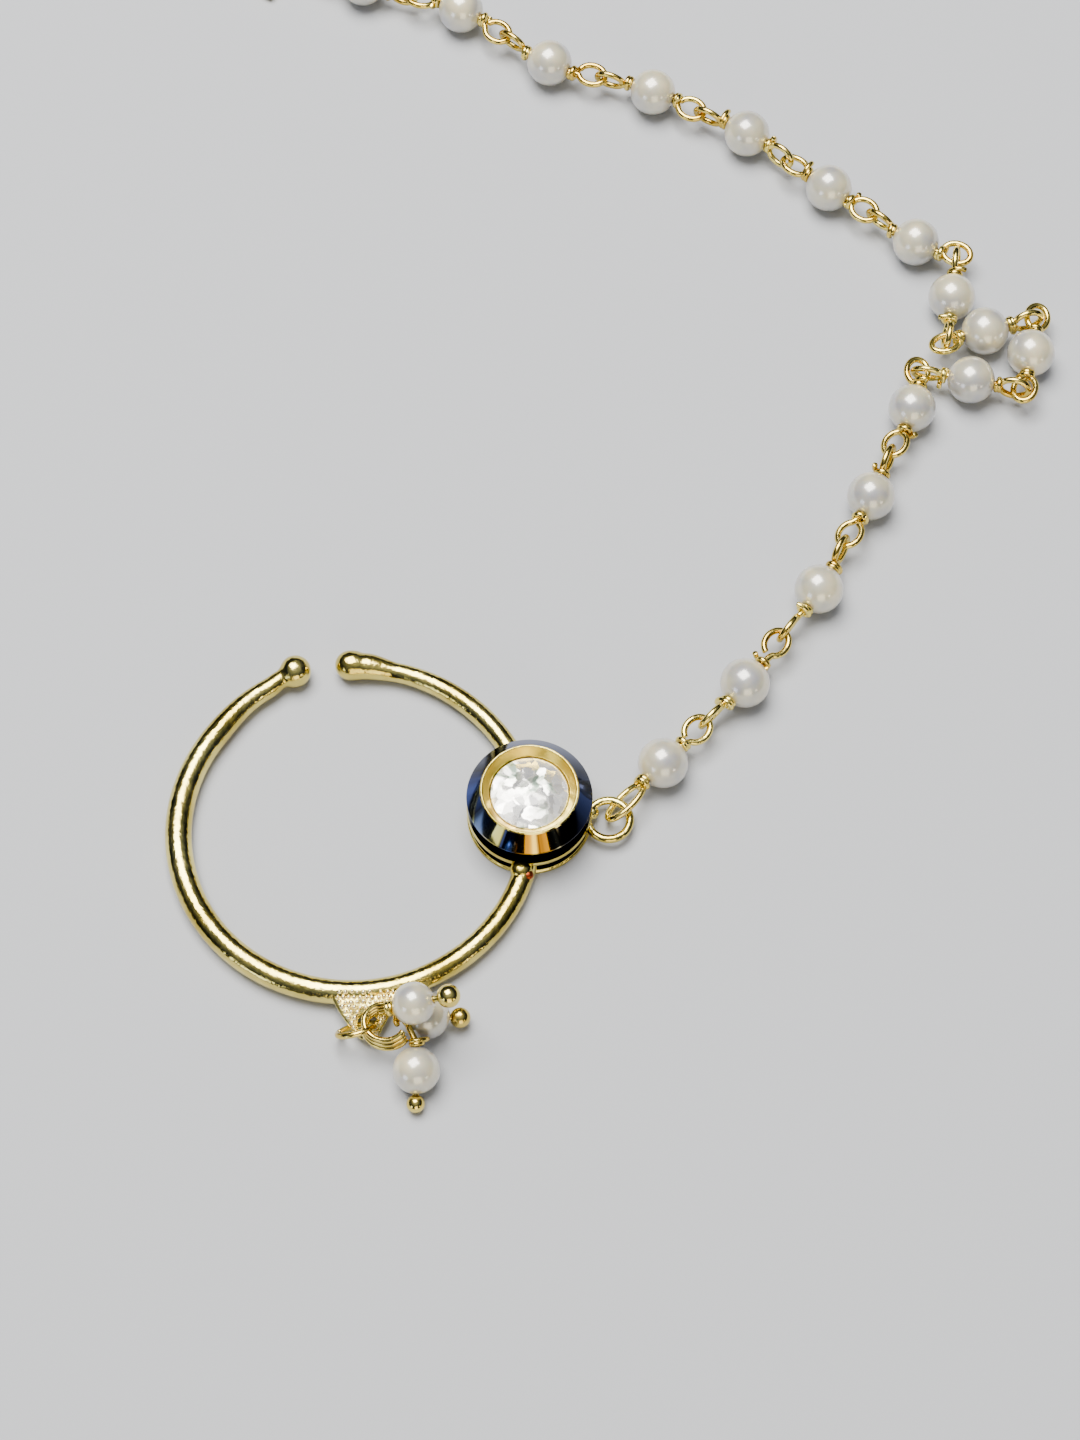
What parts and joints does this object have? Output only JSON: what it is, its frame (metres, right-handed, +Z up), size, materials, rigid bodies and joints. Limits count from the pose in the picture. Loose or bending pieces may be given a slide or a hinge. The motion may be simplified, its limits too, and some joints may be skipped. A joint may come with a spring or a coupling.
{
  "type": "nath nose ring",
  "caption": "Open hoop nose ring with a round stone in a turned cup, a leaf carrying pearl drops, and a chain of wired pearls ending in a hair hook.",
  "frame": {"origin": "under the middle of the whole piece's box, on the surface that it lies on", "axes": "+Z up from the surface, +Y along the lying chain's length from the drops to the hook, +X from the open hoop towards the cup and chain"},
  "size_m": [0.073, 0.1126, 0.0071],
  "materials": {
    "gold_plate": "polished gold plate",
    "gold_wire": "bright gold-plated wire",
    "foil": "crumpled silver foil",
    "stone": "clear, faceted and polished",
    "pearl": "pearl coated, soft sheen"
  },
  "bodies": {
    "root": {"nose_ring": "gold_plate", "foil": "foil", "stone": "stone", "jump_ring": "gold_wire", "drop_pearl_a": "pearl", "drop_pin_a": "gold_wire", "drop_pearl_b": "pearl", "drop_pin_b": "gold_wire", "drop_pearl_c": "pearl", "drop_pin_c": "gold_wire", "chain_pearl_01": "pearl", "chain_pin_01": "gold_wire", "chain_pearl_02": "pearl", "chain_pin_02": "gold_wire", "chain_pearl_03": "pearl", "chain_pin_03": "gold_wire", "chain_pearl_04": "pearl", "chain_pin_04": "gold_wire", "chain_pearl_05": "pearl", "chain_pin_05": "gold_wire", "chain_pearl_06": "pearl", "chain_pin_06": "gold_wire", "chain_pearl_07": "pearl", "chain_pin_07": "gold_wire", "chain_pearl_08": "pearl", "chain_pin_08": "gold_wire", "chain_pearl_09": "pearl", "chain_pin_09": "gold_wire", "chain_pearl_10": "pearl", "chain_pin_10": "gold_wire", "chain_pearl_11": "pearl", "chain_pin_11": "gold_wire", "chain_pearl_12": "pearl", "chain_pin_12": "gold_wire", "chain_pearl_13": "pearl", "chain_pin_13": "gold_wire", "chain_pearl_14": "pearl", "chain_pin_14": "gold_wire", "chain_pearl_15": "pearl", "chain_pin_15": "gold_wire", "chain_pearl_16": "pearl", "chain_pin_16": "gold_wire", "hair_hook": "gold_plate"}
  },
  "joints": []
}
